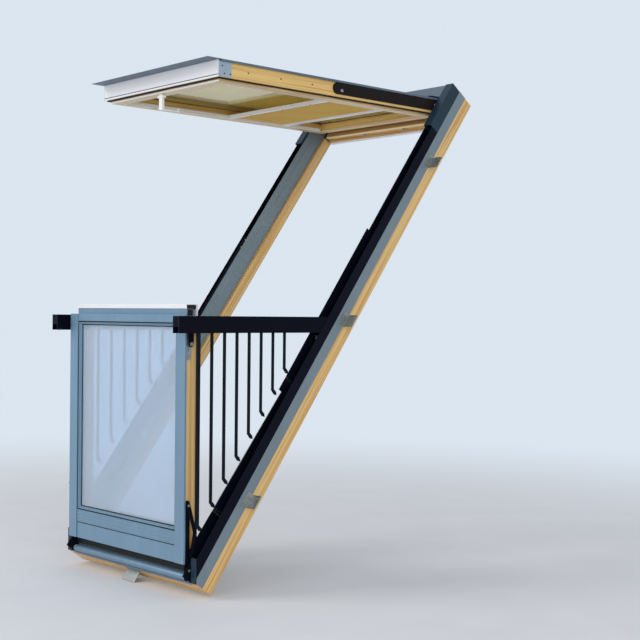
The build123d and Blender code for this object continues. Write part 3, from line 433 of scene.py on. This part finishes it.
# The steel angles by which the frame is held down, pressed from sheet and zinc plated,
# with their hexagon headed screws.
PRESSED_EDGE = 0.0006
zinc = Finish("zinc_plate", (0.62, 0.63, 0.62), 0.34, "steel", Metallic=0.9)
zinc.mottle(60, (0.52, 0.53, 0.53), (0.7, 0.7, 0.68), detail=3)
zinc.rough(0.28 + zinc.noise(80) * 0.2)
dress(["mounting_brackets", "bracket_screws"], zinc)
ease(["mounting_brackets"], PRESSED_EDGE)

# The black side rails, in which the railing folds: a floor strip, an outer bar and an inner guard,
# of aluminium with a dark blue black coating, screwed to the jambs. Moulded teal caps close their ends.
MOULDED_EDGE = 0.0012


def coated(name, colour, roughness=0.5, slot=None):
    """The satin coating of the dark metal, a shade paler where hands and weather have dulled it."""
    black = Finish(name, colour, roughness, slot, Specular_IOR_Level=0.08)
    worn = tuple(min(1, c * 1.4 + 0.008) for c in colour)
    black.mottle(7, colour, worn, detail=3)
    black.rough(roughness - 0.06 + black.noise(25, 2) * 0.16)
    black.bump(black.noise(800, 2), 0.0001, 0.3)
    return black


blue_black = coated("blue_black_coating", (0.02, 0.03, 0.075), slot="black_aluminium")
dress(["rail_floors", "side_rails"], blue_black)
ease(["side_rails"], width=0.0003, segments=1)
moulded = Finish("end_cap_plastic", (0.07, 0.17, 0.22), 0.5, "end_cap", Specular_IOR_Level=0.3)
moulded.mottle(12, (0.055, 0.15, 0.2), (0.09, 0.2, 0.26), detail=3)
moulded.bump(moulded.noise(700, 2), 0.00015, 0.4)
dress(["rail_end_caps"], moulded)
ease(["rail_end_caps"], MOULDED_EDGE)

# What is fixed on the side rails: a pale trim pressed on the upper edge of each guard, rubber flaps
# in its two slots, brass plated screws in it, and the screws of the rail floors and of the flanks.
SIDES = ((1, "right"), (-1, "left"))
GUARD_X, GUARD_SCREW_X, FLAP_X, RAIL_X, FLANK_X = 427.6, 427, 427.9, 449, 471
GUARD_FOOT, GUARD_HEIGHT, GUARD_FALL = 112, 116, 24 / 776
TRIM_PROUD, TRIM_RADIUS = 0.6, 0.0011
TRIM_LINE = [(s, GUARD_HEIGHT - (s - GUARD_FOOT) * GUARD_FALL + TRIM_PROUD) for s in (345, 600, 880)]
GUARD_SCREWS = [(s, n) for s in (1690, 1735) for n in (62, 96)]
SLOTS = [(941.5, 956.8, 46.7, 108.5), (308.4, 324.8, 55.3, 109)]
FLAP_THICK, FLAP_EDGE, FLAP_KEPT = 0.0007, 0.0002, 0.02
RAIL_FLOOR = 37
RAIL_SCREWS = [(shift, s) for s in range(1130, 2300, 290) for shift in (-9, 9)]
FLANK_SCREWS = [(s, 78) for s in range(200, 2300, 420)]
SCREW_SIDES = 18


def bead(name, body, finish, points, radius):
    """A round bead of trim that follows straight runs between these points."""
    line = bpy.data.curves.new(name, "CURVE")
    line.dimensions = "3D"
    line.bevel_depth = radius
    line.bevel_resolution = 2
    line.use_fill_caps = True
    run = line.splines.new("POLY")
    run.points.add(len(points) - 1)
    for point, place in zip(run.points, points):
        point.co = (*place, 1)
    made = bpy.data.objects.new(name, line)
    bpy.context.scene.collection.objects.link(made)
    line.materials.append(finish.material)
    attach(made, body)


def screws(name, body, finish, places, facing, radius, height=0.0016):
    """Round headed screws with a socket sunk in each head."""
    crown, rim, wall, sunk = radius * 0.8, radius * 0.4, radius * 0.03, height * 0.6
    shape = bmesh.new()
    turn = Vector(facing).to_track_quat("Z", "Y").to_matrix().to_4x4()
    for place in places:
        known = set(shape.verts)
        ring = bmesh.ops.create_cone(shape, cap_ends=True, segments=SCREW_SIDES, radius1=radius,
                                     radius2=crown, depth=height)["verts"]
        top = next(face for vert in ring for face in vert.link_faces
                   if len(face.verts) == SCREW_SIDES and face.calc_center_median().z > 0)
        shape.normal_update()
        bmesh.ops.inset_region(shape, faces=[top], thickness=rim, depth=0)
        bmesh.ops.inset_region(shape, faces=[top], thickness=wall, depth=-sunk)
        fresh = [vert for vert in shape.verts if vert not in known]
        bmesh.ops.translate(shape, verts=fresh, vec=(0, 0, height / 2))
        bmesh.ops.transform(shape, matrix=Matrix.Translation(place) @ turn, verts=fresh)
    bmesh.ops.recalc_face_normals(shape, faces=shape.faces)
    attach(link_mesh(name, shape, finish), body)


rubber = Finish("rubber", (0.05, 0.05, 0.055), 0.6, "rubber", Specular_IOR_Level=0.3)
rubber.mottle(40, (0.035, 0.04, 0.045), (0.065, 0.07, 0.075))
rubber.bump(rubber.noise(600, 2), 0.0001, 0.3)
edge_trim = Finish("edge_trim", (0.66, 0.62, 0.63), 0.5, "white_plastic")
edge_trim.mottle(40, (0.6, 0.56, 0.57), (0.72, 0.69, 0.7))
brass = Finish("brass_plate", (0.72, 0.62, 0.36), 0.32, "steel", Metallic=0.9)
brass.mottle(300, (0.62, 0.52, 0.3), (0.8, 0.7, 0.45))
for side, name in SIDES:
    bead(f"{name}_guard_edge", "frame", edge_trim,
         [roof(side * GUARD_X, s, n) for s, n in TRIM_LINE], TRIM_RADIUS)
    screws(f"{name}_guard_screws", "frame", brass,
           [roof(side * GUARD_SCREW_X, s, n) for s, n in GUARD_SCREWS], (-side, 0, 0), radius=0.0042)
    for low, high, bottom, top in SLOTS:
        flap = moulding(f"{name}_slot_flap_{round(low)}", "frame", rubber,
                        [roof(side * FLAP_X, s, n) for s, n in oblong(low, high, bottom, top)],
                        Vector((-side * FLAP_THICK, 0, 0)), FLAP_EDGE)
        roof(side * FLAP_X, low, bottom)
        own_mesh(flap)
    screws(f"{name}_rail_screws", "frame", zinc,
           [roof(side * (RAIL_X + shift), s, RAIL_FLOOR) for shift, s in RAIL_SCREWS], ROOF_OUT,
           radius=0.004, height=0.0008)
    screws(f"{name}_flank_screws", "frame", blue_black,
           [roof(side * FLANK_X, s, n) for s, n in FLANK_SCREWS], (side, 0, 0), radius=0.0045)

# The parapet, which is the lower sash swung upright: rebated pine stiles and rails outside a pine
# inner frame, joined at the corners and lacquered.
HINGE_UP, HINGE_OUT = 35, 53.5
LIGHT_X = 350
LOWER_LIGHT = (227, 1020)


def upright(x, s, n):
    """The place in metres of a point of the lower sash, as it stands upright."""
    return roof(x, HINGE_UP, HINGE_OUT) + Vector((0, HINGE_OUT - n, s - HINGE_UP)) / 1000


dress(["lower_stiles"], pine("pine_lower_stiles", UPWARDS, INWARDS))
dress(["lower_rails"], pine("pine_lower_rails", ACROSS, UPWARDS))
dress(["lower_inner_frame"], pine("pine_lower_inner", UPWARDS, ACROSS, (0.87, 0.75, 0.52), (
    *(upright(0, s, 0).z for s in LOWER_LIGHT), LIGHT_X / 1000)))
ease(["lower_stiles", "lower_rails"], PLANED_EDGE)
ease(["lower_inner_frame"], width=0.0025, segments=3)

# The parapet's weather side: blue grey lacquered covers clipped to the stiles and rails, a glazing bead
# in two steps, and the small rail that the canopy closes on.
BEAD_EDGE = 0.0012
sash_lacquer = lacquer("sash_lacquer", (0.44, 0.56, 0.65))
dress(["lower_stile_covers", "lower_rail_covers", "lower_bead", "meeting_rail"], sash_lacquer)
ease(["lower_stile_covers", "lower_rail_covers", "meeting_rail"], SHEET_EDGE)
ease(["lower_bead"], BEAD_EDGE)

# The white painted rail along the parapet's top, folded from sheet. The black plug in each end of it and
# of the small rail in front of it is painted shade, standing for the shade inside their hollow ends.
PAINTED_EDGE = 0.0008
RAIL_END, MEETING_END = 392, 399.6
RAIL_SHADE_PLUG, MEETING_SHADE_PLUG = 0.006, 0.002
white_paint = Finish("white_paint", (0.9, 0.9, 0.91), 0.38, Coat_Weight=0.15)
white_paint.mottle(5, (0.87, 0.87, 0.88), (0.93, 0.93, 0.94), detail=3)
white_paint.bump(white_paint.noise(500, 2), 0.0001, 0.3)
dress(["white_rail"], white_paint)
ease(["white_rail"], PAINTED_EDGE)
for side, name in SIDES:
    moulding(f"{name}_rail_shade_plug", "lower_sash", rubber,
             [upright(side * RAIL_END, s, n) for s, n in oblong(1088, 1104.2, -0.2, 50.2)],
             Vector((side * RAIL_SHADE_PLUG, 0, 0)))
    moulding(f"{name}_meeting_shade_plug", "lower_sash", rubber,
             [upright(side * MEETING_END, s, n) for s, n in oblong(1062, 1087, 22, 48)],
             Vector((side * MEETING_SHADE_PLUG, 0, 0)), soft=0.0008)

# The insulating glass: two panes on an aluminium spacer, held by the bead, with a rubber gasket on each
# side and rubber seals around the backs of the sashes. Thin dark lines beside the parapet's bead and
# along the foot of its covers are painted shade, standing for the shaded gaps between those parts.
GASKET_PLACES = {"outer": 56.9, "inner": 31.4}
GASKET_BAND, GASKET_THICK = 0.004, 0.0017
ROUNDED_SHARE = 0.35
COVER_FACE = 70.9
LINE_THICK, LINE_EDGE = 0.0007, 0.0002


def gasket(name, body, finish, corners, band, thickness, open_below=False):
    """A frame along four corners, drawn out by its thickness and rounded at its edges."""
    shape = bmesh.new()
    middle = shape.faces.new([shape.verts.new(corner) for corner in corners])
    shape.normal_update()
    bmesh.ops.inset_region(shape, faces=[middle], thickness=band, use_boundary=True, use_even_offset=True)
    bmesh.ops.delete(shape, geom=[middle], context="FACES")
    if open_below:
        lowest = min(shape.faces, key=lambda face: face.calc_center_median().z)
        bmesh.ops.delete(shape, geom=[lowest], context="FACES")
    thicken(shape, thickness)
    bmesh.ops.recalc_face_normals(shape, faces=shape.faces)
    made = link_mesh(name, shape, finish)
    rounded = made.modifiers.new("rounded", "BEVEL")
    rounded.width = Vector(thickness).length * ROUNDED_SHARE
    rounded.segments = 2
    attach(made, body)


# The pale blue of the parapet's glass is partly the glass's own tint and partly a painted reflection of the
# sky.
glass = Finish("glass", (0.89, 0.945, 1.0), 0.02, Transmission_Weight=0.7, IOR=1.5)
canopy_glass = Finish("canopy_glass", (0.9, 0.84, 0.6), 0.02, Transmission_Weight=0.94, IOR=1.2)
dress(["lower_panes"], glass)
dress(["upper_panes"], canopy_glass)
bare = Finish("bare_aluminium", (0.66, 0.69, 0.72), 0.36, Metallic=0.8)
bare.mottle(30, (0.6, 0.63, 0.66), (0.74, 0.76, 0.78), detail=3)
bare.bump(bare.noise(400, 2, (1, 1, 6)), 0.00008, 0.4)
dress(["lower_spacer", "upper_spacer"], bare)
dress(["lower_seals", "upper_seal"], rubber)
for face, n in GASKET_PLACES.items():
    gasket(f"parapet_{face}_gasket", "lower_sash", rubber,
           [upright(x, s, n) for x, s in oblong(-LIGHT_X, LIGHT_X, *LOWER_LIGHT)],
           GASKET_BAND, (0, -GASKET_THICK, 0))
# Painted shade: thin dark lines in the gaps beside the bead and at the foot of the covers.
gasket("parapet_bead_shade_line", "lower_sash", rubber,
       [upright(x, s, COVER_FACE) for x, s in oblong(-363.3, 363.3, 213.7, 1033.3)],
       band=0.0045, thickness=(0, -LINE_THICK, 0))
moulding("foot_plate_shade_line", "lower_sash", rubber,
         [upright(x, s, COVER_FACE) for x, s in oblong(-361.5, 361.5, 156, 159.5)],
         (0, -LINE_THICK, 0), LINE_EDGE)

# The ironwork of the parapet: black hinge arms and brackets, jointed stays of flat bar that run beside
# the sash, and zinc plated plates with the handrails' pivots. All are riveted or screwed.
BAR_EDGE = 0.0008
STILE_X, STAY_TOP_X, STAY_FOOT_X = 418, 437, 433.5
ARM_SCREWS, PLATE_SCREWS = (110, 170, 235, 290), (903, 925, 978)
STAY_TOP, STAY_FOOT = (320, 60), (60, 70)
iron = coated("black_iron", (0.035, 0.045, 0.075), slot="black_metal")
dress(["lower_hinge_brackets", "lower_hinge_arms"], iron)
dress(["stay_frame_links", "stay_sash_links"], iron)
ease(["lower_hinge_arms", "lower_hinge_brackets"], BAR_EDGE)
ease(["stay_frame_links", "stay_sash_links"], PRESSED_EDGE)
dress(["handrail_pivots"], zinc)
ease(["handrail_pivots"], PRESSED_EDGE)
for side, name in SIDES:
    outwards = (side, 0, 0)
    screws(f"{name}_hinge_arm_screws", "lower_sash", iron,
           [upright(side * STILE_X, s, HINGE_OUT) for s in ARM_SCREWS], outwards, radius=0.0042)
    screws(f"{name}_pivot_plate_screws", "lower_sash", zinc,
           [upright(side * STILE_X, s, HINGE_OUT) for s in PLATE_SCREWS], outwards, radius=0.004)
    screws(f"{name}_stay_top_screw", "lower_sash", zinc,
           [upright(side * STAY_TOP_X, *STAY_TOP)], outwards, radius=0.0055, height=0.002)
    screws(f"{name}_stay_foot_screw", "stay_lower", zinc,
           [roof(side * STAY_FOOT_X, *STAY_FOOT)], outwards, radius=0.0055, height=0.002)

# The railing: hollow black handrails, open below, with a moulded cap in the front end. Eight flat bars
# hang in each, on pins, with their feet bent so that they fold past one another.
BALUSTERS = [f"baluster_pair_{number}" for number in range(1, 9)]
RAIL_PIVOT = upright(0, 950, HINGE_OUT)
RAIL_FRONT = -85.4
dress(["handrails"], coated("handrail_coating", (0.0, 0.002, 0.05), 0.45))
dress(["railing_pins"], zinc)
ease(["handrails"], width=0.0015, segments=3)
dress(BALUSTERS, coated("baluster_coating", (0.04, 0.065, 0.1)))
ease(BALUSTERS, BAR_EDGE)


def railing(x, back, up):
    """The place in metres of a point of the railing, from the handrails' pivots."""
    return RAIL_PIVOT + Vector((x, back, up)) / 1000


for side, name in SIDES:
    gasket(f"{name}_handrail_cap_rim", "railing", moulded,
           [railing(side * x, RAIL_FRONT, up) for x, up in oblong(429, 469, 43.5, 110.3)],
           band=0.0018, thickness=(0, 0.0015, 0), open_below=True)

# The canopy, which is the upper sash swung level: pine stiles and rails, weather covers in a darker
# blue grey, and a white painted front.
CANOPY_UP, CANOPY_OUT = 2512, -10
UPPER_LIGHT = (1221, 2399)
CANOPY_TINT = (0.86, 0.72, 0.44)
FRONT_GROOVE, INNER_FRONT = 1142.4, 1163.2
GROOVE_SHADE_STRIP, INNER_STRIP = 0.0012, 0.0014


def level(x, s, n):
    """The place in metres of a point of the upper sash, as it lies level."""
    return roof(x, CANOPY_UP, CANOPY_OUT) + Vector((0, s - CANOPY_UP, n - CANOPY_OUT)) / 1000


dress(["upper_stiles"], pine("pine_upper_stiles", INWARDS, UPWARDS, CANOPY_TINT))
dress(["upper_rails"], pine("pine_upper_rails", ACROSS, INWARDS, CANOPY_TINT))
dress(["upper_inner_frame"], pine("pine_upper_inner", INWARDS, ACROSS, (0.87, 0.78, 0.62), (
    *(level(0, s, 0).y for s in UPPER_LIGHT), LIGHT_X / 1000)))
ease(["upper_stiles", "upper_rails"], PLANED_EDGE)
ease(["upper_inner_frame"], width=0.0025, segments=3)
shade_lacquer = lacquer("canopy_lacquer", (0.34, 0.42, 0.49))
dress(["upper_stile_covers", "upper_rail_covers", "upper_bead", "hood"], shade_lacquer)
ease(["upper_stile_covers", "upper_rail_covers", "hood"], SHEET_EDGE)
ease(["upper_bead"], BEAD_EDGE)
dress(["front_panel"], white_paint)
ease(["front_panel"], PAINTED_EDGE)
# A black strip in the front's groove is painted shade: it darkens the groove the way its shadow would.
moulding("front_groove_shade_strip", "upper_sash", rubber,
         [level(x, FRONT_GROOVE, n) for x, n in oblong(-413, 413, 13.2, 15.8)],
         (0, GROOVE_SHADE_STRIP, 0), LINE_EDGE)
moulding("inner_front_edge", "upper_sash", white_plastic,
         [level(x, INNER_FRONT, n) for x, n in oblong(-391, 391, -9, -2)],
         (0, -INNER_STRIP, 0), FINE_EDGE)
for face, n in GASKET_PLACES.items():
    gasket(f"canopy_{face}_gasket", "upper_sash", rubber,
           [level(x, s, n) for x, s in oblong(-LIGHT_X, LIGHT_X, *UPPER_LIGHT)],
           GASKET_BAND, (0, 0, GASKET_THICK))

# The canopy's side: a blue grey corner cap held by dark screws, more dark screws in the stile,
# and the long black hinge arm with light pins at its ends.
ARM_X = 419.5
ARM_PINS = [(1815, 32), (2418, 42), (2468, 30)]
STILE_SCREWS = [(s, 40) for s in (1900, 2060, 2220, 2330)]
corner_finish = Finish("corner_cap", (0.6, 0.66, 0.71), 0.4, Metallic=0.25)
corner_finish.mottle(25, (0.57, 0.63, 0.68), (0.65, 0.71, 0.76), detail=3)
dress(["upper_corner_caps"], corner_finish)
ease(["upper_corner_caps"], MOULDED_EDGE, segments=3)
dark_screw = Finish("browned_screw", (0.16, 0.15, 0.14), 0.4, "steel", Metallic=0.6)
dark_screw.mottle(300, (0.12, 0.11, 0.1), (0.22, 0.2, 0.18))
dress(["upper_screws"], dark_screw)
arm_finish = coated("brown_black_coating", (0.09, 0.07, 0.07), 0.45)
dress(["canopy_arms", "canopy_brackets"], arm_finish)
ease(["canopy_arms"], BAR_EDGE)
for side, name in SIDES:
    outwards = (side, 0, 0)
    screws(f"{name}_arm_pins", "upper_sash", zinc,
           [level(side * ARM_X, s, n) for s, n in ARM_PINS], outwards, radius=0.0078, height=0.003)
    screws(f"{name}_arm_screws", "upper_sash", dark_screw,
           [level(side * ARM_X, s, n) for s, n in STILE_SCREWS], outwards, radius=0.004)

# The pull handle under the canopy's front edge, moulded in white plastic, and the latch on the inner
# side of the parapet, cast in aluminium.
dress(["pull_handle"], white_plastic)
ease(["pull_handle"], width=0.002, segments=4)
dress(["latch_seat", "latch_lever"], bare)
ease(["latch_seat", "latch_lever"], width=0.0012, segments=3)

# The blind's hardware: a white headrail and bottom bar of extruded aluminium that run in white
# plastic guides, with dark eyelets under the bar.
EYELET_PLACES = (-180, 40, 230)
BAR_UP, BAR_UNDERSIDE = 1800, -8
dress(["blind_guides"], white_plastic)
dress(["blind_headrail", "blind_bar"], white_paint)
ease(["blind_headrail", "blind_bar"], width=0.0012, segments=3)
screws("bar_eyelets", "bar", rubber, [level(x, BAR_UP, BAR_UNDERSIDE) for x in EYELET_PLACES],
       (0, 0, -1), radius=0.003)

# The pleated blind: one thin cloth in sharp even pleats, between the headrail and the bottom bar.
PLEATS = 28
PLEAT_DEPTH = 0.0055
fabric_low, fabric_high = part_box("blind_fabric")
cloth = Finish("pleated_cloth", (0.84, 0.68, 0.3), 0.8, Sheen_Weight=0.3)
cloth.mottle(6, (0.78, 0.62, 0.26), (0.88, 0.74, 0.38))
cloth.bump(cloth.noise(1400, 2, (1, 3, 1)), 0.0002, 0.4)
folds = bmesh.new()
middle = (fabric_low.z + fabric_high.z) / 2
start = folds.verts.new((fabric_low.x, fabric_low.y, middle))
end = folds.verts.new((fabric_high.x, fabric_low.y, middle))
edges = [folds.edges.new((start, end))]
pleat = (fabric_high.y - fabric_low.y) / (2 * PLEATS)
for fold in range(2 * PLEATS):
    grown = bmesh.ops.extrude_edge_only(folds, edges=edges)["geom"]
    corners = [item for item in grown if isinstance(item, bmesh.types.BMVert)]
    edges = [item for item in grown if isinstance(item, bmesh.types.BMEdge)]
    rise = PLEAT_DEPTH if fold % 2 == 0 else -PLEAT_DEPTH
    bmesh.ops.translate(folds, verts=corners, vec=(0, pleat, rise))
bmesh.ops.recalc_face_normals(folds, faces=folds.faces)
blind = link_mesh("pleated_blind", folds, cloth)
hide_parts("blind_fabric")
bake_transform(blind)

# The scene's settings.
bpy.context.scene.view_settings.view_transform = "Standard"
